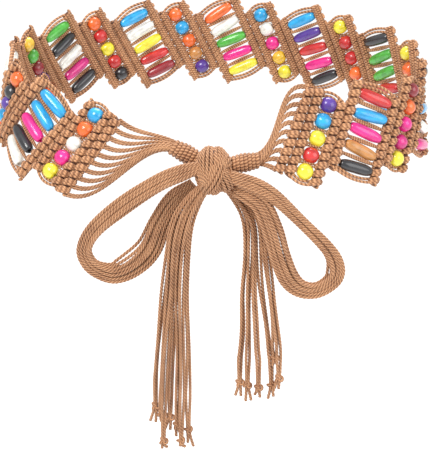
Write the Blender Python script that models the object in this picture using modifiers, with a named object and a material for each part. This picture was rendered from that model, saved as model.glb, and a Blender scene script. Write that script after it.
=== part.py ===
"""Macrame tie belt with wooden beads, worn as a ring and tied in a bow at the front.

Units are metres, +Z is up, the bow is at -Y and the origin is the centre of the waist.
The beaded band is first built flat, from ribs and beads, and fused. Its points are then laid
round the waist. The band's length gives the size of the ring.
"""
import math

import bmesh
import bpy
import numpy as np
from mathutils import Matrix, Vector

# Beads, threaded in slanted columns
ROUND_BEAD_DIAMETER = 0.009
LONG_BEAD_LENGTH = 0.0205
LONG_BEAD_DIAMETER = 0.0058

# Length and thickness of the faceted form against the bead's own (shares). The form is longer
# so that its cut ends lie in the ribs, and thicker so that its flats keep the bead's bulk.
ROUND_BEAD_FACETING = (1.19, 1.05)
LONG_BEAD_FACETING = (1.33, 1.13)

# The grid of columns
BEAD_PITCH = 0.010
BEADS_IN_COLUMN = 5
COLUMNS = 19
COLUMNS_IN_LEFT_HALF = 10

# Knotted ribs on both sides of each column
RIB_WIDTH = 0.0055
RIB_THICKNESS = 0.0050
RIB_SHOULDER_SHARE = 0.68
RIB_END_MARGIN = 0.007
RIB_LEAN = math.radians(26.5)

# The ring round the waist
PLAN_DEPTH_SHARE = 0.668
PLAN_EGG_SHARE = 0.063
FIRST_COLUMN_ANGLE = math.radians(231.0)
LAST_COLUMN_ANGLE = math.radians(-63.0)
BACK_LIFT = 0.012

# Station along the beads (share), lift (share of BACK_LIFT), outward lean of the top (degrees)
BAND_STATIONS = (
    (0.000, -1.10, -38.0),
    (0.125, 0.00, -10.0),
    (0.250, 0.70, 2.0),
    (0.375, 0.90, 4.0),
    (0.500, 1.00, 7.0),
    (0.625, 0.75, -2.0),
    (0.750, 0.15, 1.0),
    (0.875, -0.60, -7.0),
    (1.000, -0.65, -30.0),
)

# Cord, fans and wrapped necks
CORD_DIAMETER = 0.0015
FAN_CORDS = 8
FAN_CORD_DIAMETER = 0.0023
NECK_DIAMETER = 0.0094
NECK_GROOVE_DEPTH = 0.0006
NECK_TURNS = 5

# Bow knot, and the places of the necks beside it
KNOT_WIDTH = 0.024
KNOT_DEPTH = 0.021
KNOT_HEIGHT = 0.027
KNOT_BELOW_WAIST = 0.0215
KNOT_IN_FRONT = 0.004
KNOT_STRAP_WIDTH = 0.012
KNOT_STRAP_THICKNESS = 0.0018
LEFT_NECK_LENGTH = 0.0155
LEFT_NECK_RISE = 0.0115
RIGHT_NECK_LENGTH = 0.0150
RIGHT_NECK_RISE = 0.0035

# Straps that cross the knot: lean of the strap from upright (radians), rise (share of its
# thickness)
KNOT_STRAPS = ((0.12, 1.0), (-0.75, 0.6))

# Bow loops and tails
LOOP_REACH = 0.070
LOOP_DROP = 0.070
LOOP_WIDTH = 0.0100
LOOP_THICKNESS = 0.0042
TAIL_WIDTH = 0.0160
TAIL_LOCK_DIAMETER = 0.0046
TAIL_LOCKS = 3
TAIL_TOP_SHARE = 0.30
LOCK_FILL = 0.96
LOCK_TAPER = 0.18
LEFT_TAIL_LENGTH = 0.165
RIGHT_TAIL_LENGTH = 0.131
END_KNOT_DIAMETER = 0.0042
FRONT_STEP = 0.0045

# Fits between pieces
GAP = 0.0003
FUSE = 0.0003

# Loops: out from the knot (share of LOOP_REACH), down (share of LOOP_DROP), forward (share
# of FRONT_STEP), width (share of LOOP_WIDTH). The list runs down the upper arm and back up.
LEFT_LOOP = (
    (0.107, -0.040, 1.5, 0.65),
    (0.250, 0.000, 1.7, 0.95),
    (0.440, 0.080, 1.9, 1.00),
    (0.700, 0.250, 2.0, 1.00),
    (0.920, 0.450, 2.0, 0.92),
    (1.015, 0.620, 1.9, 0.82),
    (0.990, 0.750, 1.6, 0.85),
    (0.910, 0.830, 1.3, 0.95),
    (0.790, 0.870, 1.0, 1.10),
    (0.640, 0.810, 0.7, 1.25),
    (0.510, 0.680, 0.4, 1.30),
    (0.420, 0.460, 0.1, 1.15),
    (0.310, 0.260, 0.1, 1.00),
    (0.160, 0.135, 0.1, 0.65),
)
RIGHT_LOOP = (
    (0.114, 0.030, 1.5, 0.65),
    (0.300, 0.100, 1.6, 0.95),
    (0.460, 0.190, 1.8, 0.88),
    (0.650, 0.370, 1.8, 0.78),
    (0.870, 0.600, 1.9, 0.85),
    (0.955, 0.750, 1.9, 0.92),
    (0.950, 0.880, 1.9, 0.90),
    (0.830, 0.980, 1.9, 0.85),
    (0.700, 0.975, 1.9, 0.92),
    (0.600, 0.880, 1.9, 1.05),
    (0.520, 0.690, 1.9, 1.10),
    (0.450, 0.460, 1.8, 1.10),
    (0.350, 0.260, 1.4, 0.95),
    (0.160, 0.150, 0.7, 0.65),
)

# Tails: out from the knot (share of TAIL_WIDTH), down (share of the tail's length), forward
# (share of FRONT_STEP), spread (share of TAIL_WIDTH)
LEFT_TAIL = (
    (0.30, 0.010, 1.3, 0.40),
    (0.98, 0.080, 2.0, 0.62),
    (1.20, 0.170, 2.3, 0.78),
    (1.33, 0.280, 2.3, 0.86),
    (1.41, 0.480, 2.0, 0.95),
    (1.41, 0.720, 1.6, 1.02),
    (1.37, 0.900, 1.4, 1.08),
)
RIGHT_TAIL = (
    (0.30, 0.030, -0.6, 0.35),
    (1.10, 0.110, -0.8, 0.55),
    (1.42, 0.210, -0.7, 0.75),
    (1.49, 0.340, 0.0, 0.95),
    (1.46, 0.600, 0.8, 1.12),
    (1.55, 0.800, 1.0, 1.05),
    (1.60, 0.930, 1.0, 1.05),
)

# How deep each lock ends (share of the tail's length)
LEFT_LOCK_ENDS = (0.86, 0.97, 1.00)
RIGHT_LOCK_ENDS = (0.96, 1.00, 0.90)

# Fineness of the facets
BEAD_SIDES = 10
NECK_SIDES = 8
BUNDLE_SIDES = 8
LOCK_SIDES = 6
LOCK_SECTIONS = 6
LOOP_SECTIONS = 19
RIB_SECTIONS = 2
PATH_STEPS = 4000

# Values worked out from the sizes above
RIB_HALF_LENGTH = (BEADS_IN_COLUMN - 1) / 2 * BEAD_PITCH + RIB_END_MARGIN
COLUMN_STEP = (ROUND_BEAD_DIAMETER + LONG_BEAD_LENGTH) / 2 + 2 * RIB_WIDTH
COLUMN_SPACING = COLUMN_STEP / math.cos(RIB_LEAN)
BEADED_LENGTH = (COLUMNS - 1) * COLUMN_SPACING

CORD_TAN = (0.58, 0.32, 0.15, 1.0)
CORD_SHADE = (0.50, 0.26, 0.12, 1.0)


def clear_scene():
    """Remove every object that the file starts with."""
    for obj in list(bpy.data.objects):
        bpy.data.objects.remove(obj, do_unlink=True)


def make_collections():
    """Make one collection for the belt and one for the helpers that cut it."""
    belt = bpy.data.collections.new("macrame_belt")
    helpers = bpy.data.collections.new("helpers")
    bpy.context.scene.collection.children.link(belt)
    bpy.context.scene.collection.children.link(helpers)
    return belt, helpers


def cord_material(name, colour):
    """Waxed cotton cord: matt, without metal."""
    material = bpy.data.materials.new(name)
    material.use_nodes = True
    shader = material.node_tree.nodes["Principled BSDF"]
    shader.inputs["Base Color"].default_value = colour
    shader.inputs["Roughness"].default_value = 0.72
    shader.inputs["Metallic"].default_value = 0.0
    return material


def unit_plan(angle):
    """The ring's plan for a half width of 1: an ellipse pulled into an egg."""
    across = np.cos(angle)
    along = PLAN_DEPTH_SHARE * np.sin(angle) - PLAN_EGG_SHARE * np.cos(2 * angle)
    return across, along


def plan_table():
    """Places round the ring against the length walked from the first column."""
    start = FIRST_COLUMN_ANGLE + math.radians(60)
    stop = LAST_COLUMN_ANGLE - math.radians(60)
    angle = np.linspace(start, stop, PATH_STEPS)
    across, along = unit_plan(angle)
    step = np.hypot(np.diff(across), np.diff(along))
    walked = np.concatenate([[0.0], np.cumsum(step)])
    first = np.interp(-FIRST_COLUMN_ANGLE, -angle, walked)
    last = np.interp(-LAST_COLUMN_ANGLE, -angle, walked)
    half_width = BEADED_LENGTH / (last - first)
    return (walked - first) * half_width, across * half_width, along * half_width


WALKED, PLAN_X, PLAN_Y = plan_table()
STATIONS = np.array(BAND_STATIONS)


def smooth_table(place, column):
    """Read one column of the station table, eased from row to row."""
    share = np.clip(place / BEADED_LENGTH, 0.0, 1.0)
    row = np.clip(np.searchsorted(STATIONS[:, 0], share, side="right") - 1, 0, len(STATIONS) - 2)
    low = STATIONS[row, 0]
    part = (share - low) / (STATIONS[row + 1, 0] - low)
    ease = part * part * (3 - 2 * part)
    return STATIONS[row, column] * (1 - ease) + STATIONS[row + 1, column] * ease


def on_band(place, height, inward):
    """Turn flat band coordinates into space.

    place is the length walked from the first column, height is measured up the band's face
    and inward from its middle surface towards the wearer.
    """
    reach = CORD_DIAMETER
    x = np.interp(place, WALKED, PLAN_X)
    y = np.interp(place, WALKED, PLAN_Y)
    run_x = np.interp(place + reach, WALKED, PLAN_X) - np.interp(place - reach, WALKED, PLAN_X)
    run_y = np.interp(place + reach, WALKED, PLAN_Y) - np.interp(place - reach, WALKED, PLAN_Y)
    run = np.hypot(run_x, run_y)
    out_x = -run_y / run
    out_y = run_x / run
    lift = smooth_table(place, 1) * BACK_LIFT
    lean = np.radians(smooth_table(place, 2))
    out = height * np.sin(lean) - inward * np.cos(lean)
    up = lift + height * np.cos(lean) + inward * np.sin(lean)
    return np.stack([x + out * out_x, y + out * out_y, up], axis=-1)


def rib_place(column, across, along):
    """Flat place and height of a point beside a column.

    across is measured square to the ribs, along runs up the ribs from the column's middle.
    """
    place = column * COLUMN_SPACING + across * math.cos(RIB_LEAN) - along * math.sin(RIB_LEAN)
    height = across * math.sin(RIB_LEAN) + along * math.cos(RIB_LEAN)
    return place, height


def near_rib(column, across, along, inward=0.0):
    """Point in space beside a column, as a vector."""
    place, height = rib_place(column, across, along)
    return Vector(on_band(np.array(place), np.array(height), inward))


def slot_half_width(column):
    """Half the space between a column's ribs: round and long beads by turns."""
    if column % 2 == 0:
        return ROUND_BEAD_DIAMETER / 2
    return LONG_BEAD_LENGTH / 2


def new_object(name, bm, collection):
    """Turn a bmesh into an object of one collection."""
    mesh = bpy.data.meshes.new(name)
    bm.to_mesh(mesh)
    bm.free()
    obj = bpy.data.objects.new(name, mesh)
    collection.objects.link(obj)
    return obj


def flat_frame(column, across, along):
    """Matrix that carries a shape to its place in the flat band, turned along the ribs."""
    place, height = rib_place(column, across, along)
    return Matrix.Translation((place, height, 0)) @ Matrix.Rotation(RIB_LEAN, 4, "Z")


def flat_rib(column, low, high, collection):
    """One rib: a six-sided bar with flat flanks, cut into sections so that it can bend."""
    bm = bmesh.new()
    bmesh.ops.create_cone(bm, cap_ends=True, segments=6, radius1=1, radius2=1, depth=1)
    half = (high - low) / 2 / math.cos(math.radians(30))
    for vert in bm.verts:
        if abs(vert.co.y) < 0.75:
            vert.co.y = math.copysign(RIB_SHOULDER_SHARE, vert.co.y)
    bmesh.ops.scale(bm, verts=bm.verts, vec=(half, RIB_THICKNESS / 2, 2 * RIB_HALF_LENGTH))
    bmesh.ops.rotate(bm, verts=bm.verts, matrix=Matrix.Rotation(math.radians(-90), 3, "X"))
    for cut in range(1, RIB_SECTIONS):
        level = RIB_HALF_LENGTH * (2 * cut / RIB_SECTIONS - 1)
        bmesh.ops.bisect_plane(bm, geom=bm.verts[:] + bm.edges[:] + bm.faces[:],
                               plane_co=(0, level, 0), plane_no=(0, 1, 0))
    bmesh.ops.transform(bm, matrix=flat_frame(column, (low + high) / 2, 0), verts=bm.verts)
    return new_object("rib", bm, collection)


def flat_bead(column, row, collection):
    """One bead, lying square to the ribs with its ends sunk in them."""
    round_bead = column % 2 == 0
    reach, swell = ROUND_BEAD_FACETING if round_bead else LONG_BEAD_FACETING
    reach *= slot_half_width(column)
    radius = swell * (ROUND_BEAD_DIAMETER if round_bead else LONG_BEAD_DIAMETER) / 2
    bm = bmesh.new()
    bmesh.ops.create_uvsphere(bm, u_segments=BEAD_SIDES, v_segments=3, radius=1)
    bmesh.ops.rotate(bm, verts=bm.verts, matrix=Matrix.Rotation(math.radians(90), 3, "Y"))
    bmesh.ops.scale(bm, verts=bm.verts, vec=(reach, radius, radius))
    along = ((BEADS_IN_COLUMN - 1) / 2 - row) * BEAD_PITCH
    bmesh.ops.transform(bm, matrix=flat_frame(column, 0, along), verts=bm.verts)
    return new_object("bead", bm, collection)


def fused(name, pieces, collection, helpers):
    """Fuse overlapping solids into one body, and remove the solids that went in."""
    group = bpy.data.collections.new(name + "_pieces")
    helpers.children.link(group)
    base = pieces[0]
    for piece in pieces[1:]:
        for owner in list(piece.users_collection):
            owner.objects.unlink(piece)
        group.objects.link(piece)
    union = base.modifiers.new("fuse", "BOOLEAN")
    union.operation = "UNION"
    union.operand_type = "COLLECTION"
    union.collection = group
    union.solver = "EXACT"
    union.use_self = True
    body = from_evaluated(name, base, collection)
    for piece in pieces:
        bpy.data.objects.remove(piece, do_unlink=True)
    bpy.data.collections.remove(group)
    return body


def from_evaluated(name, obj, collection):
    """A new object that holds another's finished mesh, placed in the mesh."""
    graph = bpy.context.evaluated_depsgraph_get()
    graph.update()
    mesh = bpy.data.meshes.new_from_object(obj.evaluated_get(graph))
    mesh.transform(obj.matrix_world)
    mesh.name = name
    body = bpy.data.objects.new(name, mesh)
    collection.objects.link(body)
    return body


def finish(obj, material):
    """Give a node its material and its shading."""
    obj.data.materials.clear()
    obj.data.materials.append(material)
    obj.data.shade_smooth()
    obj.data.set_sharp_from_angle(angle=math.radians(40))
    return obj


def lay_round_waist(obj):
    """Move the points of a flat piece of the band to their places round the waist."""
    bm = bmesh.new()
    bm.from_mesh(obj.data)
    bmesh.ops.remove_doubles(bm, verts=bm.verts, dist=0.00002)
    bmesh.ops.triangulate(bm, faces=bm.faces)
    bm.to_mesh(obj.data)
    bm.free()
    count = len(obj.data.vertices)
    flat = np.empty(count * 3, dtype=np.float32)
    obj.data.vertices.foreach_get("co", flat)
    flat = flat.reshape(-1, 3).astype(float)
    placed = on_band(flat[:, 0], flat[:, 1], flat[:, 2])
    obj.data.vertices.foreach_set("co", placed.astype(np.float32).ravel())
    obj.data.update()


def beaded_band(name, columns, material, belt, helpers):
    """One half of the band: columns of beads between ribs, fused and laid round the waist."""
    pieces = []
    for column in columns:
        slot = slot_half_width(column)
        at_left_end = column == 0
        at_right_end = column == COLUMNS - 1
        splits_left = column == columns[0] and not at_left_end
        splits_right = column == columns[-1] and not at_right_end
        low = -slot - RIB_WIDTH + (GAP / 2 if splits_left else -FUSE / 2)
        high = slot + RIB_WIDTH - (GAP / 2 if splits_right else -FUSE / 2)
        pieces.append(flat_rib(column, low, -slot, helpers))
        pieces.append(flat_rib(column, slot, high, helpers))
        if at_left_end:
            pieces.append(flat_rib(column, -slot - 2 * RIB_WIDTH, -slot - RIB_WIDTH, helpers))
        if at_right_end:
            pieces.append(flat_rib(column, slot + RIB_WIDTH, slot + 2 * RIB_WIDTH, helpers))
        for row in range(BEADS_IN_COLUMN):
            pieces.append(flat_bead(column, row, helpers))
    band = fused(name, pieces, belt, helpers)
    lay_round_waist(band)
    return finish(band, material)


def curve_through(points, count):
    """Points spaced along a smooth curve through a few chosen points (Catmull-Rom)."""
    padded = [points[0] * 2 - points[1]] + list(points) + [points[-1] * 2 - points[-2]]
    result = []
    for step in range(count):
        where = step / (count - 1) * (len(points) - 1)
        index = min(int(where), len(points) - 2)
        t = where - index
        a, b, c, d = padded[index:index + 4]
        result.append(0.5 * (2 * b + (c - a) * t + (2 * a - 5 * b + 4 * c - d) * t * t
                             + (3 * b - a - 3 * c + d) * t * t * t))
    return result


def bezier(start, start_pull, end_pull, end, count):
    """Points along one cubic curve between two ends."""
    result = []
    for step in range(count):
        t = step / (count - 1)
        result.append(start * (1 - t) ** 3 + start_pull * 3 * t * (1 - t) ** 2
                      + end_pull * 3 * t * t * (1 - t) + end * t ** 3)
    return result


def cord_tube(name, points, diameter, collection):
    """A cord: a poly curve with a round bevel and filled caps, made a mesh."""
    curve = bpy.data.curves.new(name, "CURVE")
    curve.dimensions = "3D"
    curve.bevel_depth = diameter / 2
    curve.bevel_resolution = 0
    curve.use_fill_caps = True
    spline = curve.splines.new("POLY")
    spline.points.add(len(points) - 1)
    for spot, point in zip(spline.points, points):
        spot.co = (*point, 1.0)
    cord = bpy.data.objects.new(name, curve)
    collection.objects.link(cord)
    tube = from_evaluated(name, cord, collection)
    bpy.data.objects.remove(cord, do_unlink=True)
    bpy.data.curves.remove(curve)
    bm = bmesh.new()
    bm.from_mesh(tube.data)
    bmesh.ops.remove_doubles(bm, verts=bm.verts, dist=0.00001)
    bmesh.ops.recalc_face_normals(bm, faces=bm.faces)
    bm.to_mesh(tube.data)
    bm.free()
    return tube


def bundle(name, points, widths, thicknesses, facing, sides, collection):
    """A flat bundle of cords: an oval section carried along a path and closed at its ends.

    facing is the direction that the bundle's flat face looks in.
    """
    bm = bmesh.new()
    rings = []
    for index, point in enumerate(points):
        ahead = points[min(index + 1, len(points) - 1)]
        behind = points[max(index - 1, 0)]
        run = (ahead - behind).normalized()
        across = run.cross(facing).normalized()
        outward = across.cross(run).normalized()
        ring = []
        for side in range(sides):
            turn = 2 * math.pi * (side + 0.5) / sides
            offset = across * (widths[index] / 2 * math.cos(turn))
            offset += outward * (thicknesses[index] / 2 * math.sin(turn))
            ring.append(bm.verts.new(point + offset))
        rings.append(ring)
    for first, second in zip(rings, rings[1:]):
        for side in range(sides):
            after = (side + 1) % sides
            bm.faces.new((first[side], first[after], second[after], second[side]))
    bm.faces.new(rings[0])
    bm.faces.new(list(reversed(rings[-1])))
    bmesh.ops.recalc_face_normals(bm, faces=bm.faces)
    return new_object(name, bm, collection)


def ellipsoid(name, centre, size, segments, rings, collection):
    """A sphere primitive stretched to a size."""
    bm = bmesh.new()
    bmesh.ops.create_uvsphere(bm, u_segments=segments, v_segments=rings, radius=0.5)
    bmesh.ops.scale(bm, verts=bm.verts, vec=size)
    bmesh.ops.translate(bm, verts=bm.verts, vec=centre)
    return new_object(name, bm, collection)


def bow_places():
    """The knot's centre, and for each side the neck's ends."""
    front = float(PLAN_Y[np.argmin(np.abs(PLAN_X[:PATH_STEPS // 4]))])
    knot = Vector((0, front - KNOT_IN_FRONT, -KNOT_BELOW_WAIST))
    necks = {}
    for side, length, rise in ((-1, LEFT_NECK_LENGTH, LEFT_NECK_RISE),
                               (1, RIGHT_NECK_LENGTH, RIGHT_NECK_RISE)):
        inner = knot + Vector((side * KNOT_WIDTH * 0.36, KNOT_IN_FRONT * 0.4, rise * 0.35))
        sink = math.sqrt(max(length ** 2 - rise ** 2 * 0.36, 0))
        outer = inner + Vector((side * sink, KNOT_IN_FRONT * 0.4, rise * 0.6))
        necks[side] = (outer, inner)
    return knot, necks


def neck_wrap(name, outer, inner, material, belt):
    """Cord wound round the gathered cords: a grooved sleeve turned about the neck's line."""
    length = (inner - outer).length
    profile = bpy.data.meshes.new(name)
    crest = NECK_DIAMETER / 2
    valley = crest - NECK_GROOVE_DEPTH
    rows = 2 * NECK_TURNS + 1
    points = [(0, 0, length)]
    for row in range(rows):
        radius = valley if row % 2 == 0 else crest
        points.append((radius, 0, length * (1 - row / (rows - 1))))
    points.append((0, 0, 0))
    edges = [(index, index + 1) for index in range(len(points) - 1)]
    profile.from_pydata(points, edges, [])
    sleeve = bpy.data.objects.new(name, profile)
    belt.objects.link(sleeve)
    screw = sleeve.modifiers.new("turn", "SCREW")
    screw.steps = NECK_SIDES
    screw.render_steps = NECK_SIDES
    screw.use_merge_vertices = True
    screw.merge_threshold = 0.00005
    screw.use_smooth_shade = True
    sleeve.location = outer
    sleeve.rotation_mode = "QUATERNION"
    sleeve.rotation_quaternion = (inner - outer).to_track_quat("Z", "Y")
    sleeve.data.materials.append(material)
    return sleeve


def fan(name, side, outer, inner, material, belt, helpers):
    """Cords that leave the last rib side by side and gather at the neck, with gaps between."""
    column = 0 if side < 0 else COLUMNS - 1
    edge = side * (slot_half_width(column) + 2 * RIB_WIDTH)
    run = (inner - outer).normalized()
    root_length = NECK_DIAMETER * 0.7
    root = outer - run * (GAP + root_length)
    pieces = [bundle("root", [outer - run * GAP, root], [NECK_DIAMETER * 0.86, NECK_DIAMETER * 0.8],
                     [NECK_DIAMETER * 0.86, NECK_DIAMETER * 0.5], Vector((0, -1, 0)),
                     BUNDLE_SIDES, helpers)]
    for index in range(FAN_CORDS):
        share = 1 - 2 * index / (FAN_CORDS - 1)
        along = share * (RIB_HALF_LENGTH - FAN_CORD_DIAMETER)
        clear = side * (FAN_CORD_DIAMETER * 0.4 + GAP)
        start = near_rib(column, edge + clear, along)
        ahead = near_rib(column, edge + clear + side * BEAD_PITCH, along)
        pull = (ahead - start).normalized()
        spread = Vector((0, 0, share * NECK_DIAMETER * 0.22))
        end = root + spread + run * root_length * 0.3
        reach = (end - start).length
        points = bezier(start, start + pull * reach * 0.4, end - run * reach * 0.35, end, 4)
        pieces.append(cord_tube("cord", points, FAN_CORD_DIAMETER, helpers))
    gathered = fused(name, pieces, belt, helpers)
    return finish(gathered, material)


def loop_points(knot, side, rows):
    """Places of a loop's section centres and their widths."""
    points = []
    for out, down, forward, _ in rows:
        step = Vector((side * out * LOOP_REACH, -forward * FRONT_STEP, -down * LOOP_DROP))
        points.append(knot + step)
    return points, [width * LOOP_WIDTH for _, _, _, width in rows]


def bow_loop(name, side, knot, rows, grow, collection):
    """One loop of the bow, a thick flat bundle of cords, grown by a clearance as a cutter."""
    centres, widths = loop_points(knot, side, rows)
    points = curve_through(centres, LOOP_SECTIONS)
    shares = np.linspace(0, 1, LOOP_SECTIONS)
    spread = np.interp(shares, np.linspace(0, 1, len(widths)), widths)
    thick = np.interp(spread, [0.7 * LOOP_WIDTH, LOOP_WIDTH], [1.25 * LOOP_THICKNESS, LOOP_THICKNESS])
    return bundle(name, points, [width + 2 * grow for width in spread],
                  [thickness + 2 * grow for thickness in thick], Vector((0, -1, 0)),
                  BUNDLE_SIDES, collection)


def tail_points(knot, side, rows, length):
    """Places of a tail's section centres and their spreads."""
    points = []
    for out, down, forward, _ in rows:
        step = Vector((side * out * TAIL_WIDTH, -forward * FRONT_STEP, -down * length))
        points.append(knot + Vector((0, 0, -KNOT_HEIGHT * TAIL_TOP_SHARE)) + step)
    return points, [spread * TAIL_WIDTH for _, _, _, spread in rows]


def tail_head(side, knot, rows, length, grow, collection):
    """The top of a tail where all its cords lie together as one flat bundle."""
    centres, spreads = tail_points(knot, side, rows, length)
    points = curve_through(centres[:3], 4)
    spread = np.interp(np.linspace(0, 1, 4), np.linspace(0, 1, 3), spreads[:3])
    thick = TAIL_LOCK_DIAMETER * np.array([1.15, 1.1, 1.0, 0.8])
    return bundle("tail_head", points, [width + 2 * grow for width in spread],
                  [thickness + 2 * grow for thickness in thick], Vector((0, -1, 0)),
                  BUNDLE_SIDES, collection)


def tail(name, side, knot, rows, length, ends, material, belt, helpers):
    """Hanging cord ends in a few locks, each with its small end knot, fused to one head."""
    pieces = [tail_head(side, knot, rows, length, 0.0, helpers)]
    centres, spreads = tail_points(knot, side, rows, length)
    for lock in range(TAIL_LOCKS):
        share = (lock + 0.5) / TAIL_LOCKS - 0.5
        route = []
        for centre, spread in zip(centres[1:], spreads[1:]):
            route.append(centre + Vector((share * spread * 1.1, 0, 0)))
        stop = knot.z - KNOT_HEIGHT * TAIL_TOP_SHARE - ends[lock] * length
        route[-1] = Vector((route[-1].x, route[-1].y, stop + END_KNOT_DIAMETER * 1.5))
        points = curve_through(route, LOCK_SECTIONS)
        width = TAIL_WIDTH / TAIL_LOCKS * LOCK_FILL
        taper = np.linspace(0, 1, LOCK_SECTIONS)
        widths = width * (1.0 - LOCK_TAPER * taper)
        thick = TAIL_LOCK_DIAMETER * (0.9 - LOCK_TAPER * taper)
        pieces.append(bundle("lock", points, widths, thick, Vector((0, -1, 0)), LOCK_SIDES, helpers))
        size = Vector((1, 1, 1.2)) * END_KNOT_DIAMETER
        pieces.append(ellipsoid("end_knot", points[-1] - Vector((0, 0, END_KNOT_DIAMETER * 0.4)),
                                size, 8, 4, helpers))
    return finish(fused(name, pieces, belt, helpers), material)


def carved(obj, cutter, name, collection):
    """Cut one solid out of another; the cutter stays as a hidden helper."""
    cutter.hide_render = True
    cutter.display_type = "WIRE"
    cutter.name = name
    difference = obj.modifiers.new(name, "BOOLEAN")
    difference.operation = "DIFFERENCE"
    difference.object = cutter
    difference.solver = "EXACT"
    result = from_evaluated(obj.name, obj, collection)
    bpy.data.objects.remove(obj, do_unlink=True)
    bm = bmesh.new()
    bm.from_mesh(result.data)
    bmesh.ops.remove_doubles(bm, verts=bm.verts, dist=0.00002)
    bmesh.ops.triangulate(bm, faces=bm.faces)
    bm.to_mesh(result.data)
    bm.free()
    return result


def bow_knot(knot, necks, material, belt, helpers):
    """The knot: a round core, raised where two straps cross it, cut clear of all that enters."""
    body = ellipsoid("bow_knot", knot, (KNOT_WIDTH, KNOT_DEPTH, KNOT_HEIGHT), 18, 10, belt)
    for vert in body.data.vertices:
        away = vert.co - knot
        for lean, rise in KNOT_STRAPS:
            beside = abs(away.x * math.cos(lean) - away.z * math.sin(lean))
            if beside < KNOT_STRAP_WIDTH / 2:
                away *= 1 + rise * KNOT_STRAP_THICKNESS / away.length
        vert.co = knot + away
    for side, (outer, inner) in necks.items():
        run = (inner - outer).normalized()
        socket = bundle("socket", [outer, inner + run * GAP], [NECK_DIAMETER + 2 * GAP] * 2,
                        [NECK_DIAMETER + 2 * GAP] * 2, Vector((0, -1, 0)), 12, helpers)
        body = carved(body, socket, "neck_socket_left" if side < 0 else "neck_socket_right", belt)
    sockets = (
        ("loop_socket_left", bow_loop("socket", -1, knot, LEFT_LOOP, GAP, helpers)),
        ("loop_socket_right", bow_loop("socket", 1, knot, RIGHT_LOOP, GAP, helpers)),
        ("tail_socket_left", tail_head(-1, knot, LEFT_TAIL, LEFT_TAIL_LENGTH, GAP, helpers)),
        ("tail_socket_right", tail_head(1, knot, RIGHT_TAIL, RIGHT_TAIL_LENGTH, GAP, helpers)),
    )
    for name, socket in sockets:
        body = carved(body, socket, name, belt)
    body.name = "bow_knot"
    body.data.name = "bow_knot"
    return finish(body, material)


def build_belt():
    """Model the whole belt, one object for each node."""
    clear_scene()
    belt, helpers = make_collections()
    band_cord = cord_material("band_cord", CORD_TAN)
    tie_cord = cord_material("tie_cord", CORD_TAN)
    wrap_cord = cord_material("wrap_cord", CORD_SHADE)
    columns = list(range(COLUMNS))
    beaded_band("beaded_band_left", columns[:COLUMNS_IN_LEFT_HALF], band_cord, belt, helpers)
    beaded_band("beaded_band_right", columns[COLUMNS_IN_LEFT_HALF:], band_cord, belt, helpers)
    knot, necks = bow_places()
    for side, word in ((-1, "left"), (1, "right")):
        outer, inner = necks[side]
        fan("fan_" + word, side, outer, inner, band_cord, belt, helpers)
        neck_wrap("neck_wrap_" + word, outer, inner, wrap_cord, belt)
    bow_knot(knot, necks, tie_cord, belt, helpers)
    for side, word, rows in ((-1, "left", LEFT_LOOP), (1, "right", RIGHT_LOOP)):
        finish(bow_loop("bow_loop_" + word, side, knot, rows, 0.0, belt), tie_cord)
    tail("tail_left", -1, knot, LEFT_TAIL, LEFT_TAIL_LENGTH, LEFT_LOCK_ENDS, tie_cord, belt, helpers)
    tail("tail_right", 1, knot, RIGHT_TAIL, RIGHT_TAIL_LENGTH, RIGHT_LOCK_ENDS, tie_cord, belt,
         helpers)


build_belt()
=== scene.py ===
# %% [markdown]
# # A macrame tie belt with wooden beads
#
# The lesson draws every cord of a knotted belt. All shapes come from two builders: a tube that
# follows a path and a profile turned about an axis. Both work on whole numpy arrays.
#
# Units are metres. +Z is up, the bow is at -Y, and the origin is the middle of the waist.

# %% Load the frame
import math

import bpy
import numpy as np
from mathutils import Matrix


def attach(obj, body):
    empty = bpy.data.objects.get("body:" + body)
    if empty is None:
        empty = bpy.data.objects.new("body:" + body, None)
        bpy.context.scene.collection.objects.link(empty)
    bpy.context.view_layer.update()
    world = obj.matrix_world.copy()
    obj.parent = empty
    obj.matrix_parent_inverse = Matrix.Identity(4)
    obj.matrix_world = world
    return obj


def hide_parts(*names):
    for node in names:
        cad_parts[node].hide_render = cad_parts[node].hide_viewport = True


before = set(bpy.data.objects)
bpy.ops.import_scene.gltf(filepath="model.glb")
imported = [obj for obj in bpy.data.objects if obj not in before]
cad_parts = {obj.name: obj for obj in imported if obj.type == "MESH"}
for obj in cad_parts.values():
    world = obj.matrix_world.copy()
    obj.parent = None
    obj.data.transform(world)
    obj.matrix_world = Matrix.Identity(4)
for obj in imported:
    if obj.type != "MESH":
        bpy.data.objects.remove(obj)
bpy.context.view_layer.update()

# %% [markdown]
# ## Sizes
# The flat band has slanted columns of beads. Its whole length, laid round the waist, gives the
# size of the ring.

# %% Sizes of the belt
ROUND_BEAD = 0.009
LONG_BEAD_LENGTH = 0.0205
LONG_BEAD = 0.0068
BEAD_PITCH = 0.010
COLUMNS = 19
RIB_WIDTH = 0.0055
RIB_THICKNESS = 0.0050
RIB_HALF = 0.027
LEAN = math.radians(26.5)
CORD = 0.0015
STRAND = 0.0018
TWIST_LENGTH = 0.0066
PLY_DEPTH = 0.13
DEPTH_TO_WIDTH = 0.668
EGG_TO_WIDTH = 0.063
FIRST_ANGLE = math.radians(231.0)
LAST_ANGLE = math.radians(-63.0)
BACK_LIFT = 0.012
COLUMN_SPACING = ((ROUND_BEAD + LONG_BEAD_LENGTH) / 2 + 2 * RIB_WIDTH) / math.cos(LEAN)
BEADED_LENGTH = (COLUMNS - 1) * COLUMN_SPACING

# Middle of the bow's knot
KNOT = np.array((0.0, -0.0785, -0.0215))
print(f"{COLUMNS} columns of beads, {BEADED_LENGTH:.3f} m along the band")

# %% [markdown]
# ## Camera, light and floor
# The camera stands a little above the belt and looks down at it, as in the photo. Large soft
# lights give the beads their broad highlights.

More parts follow.
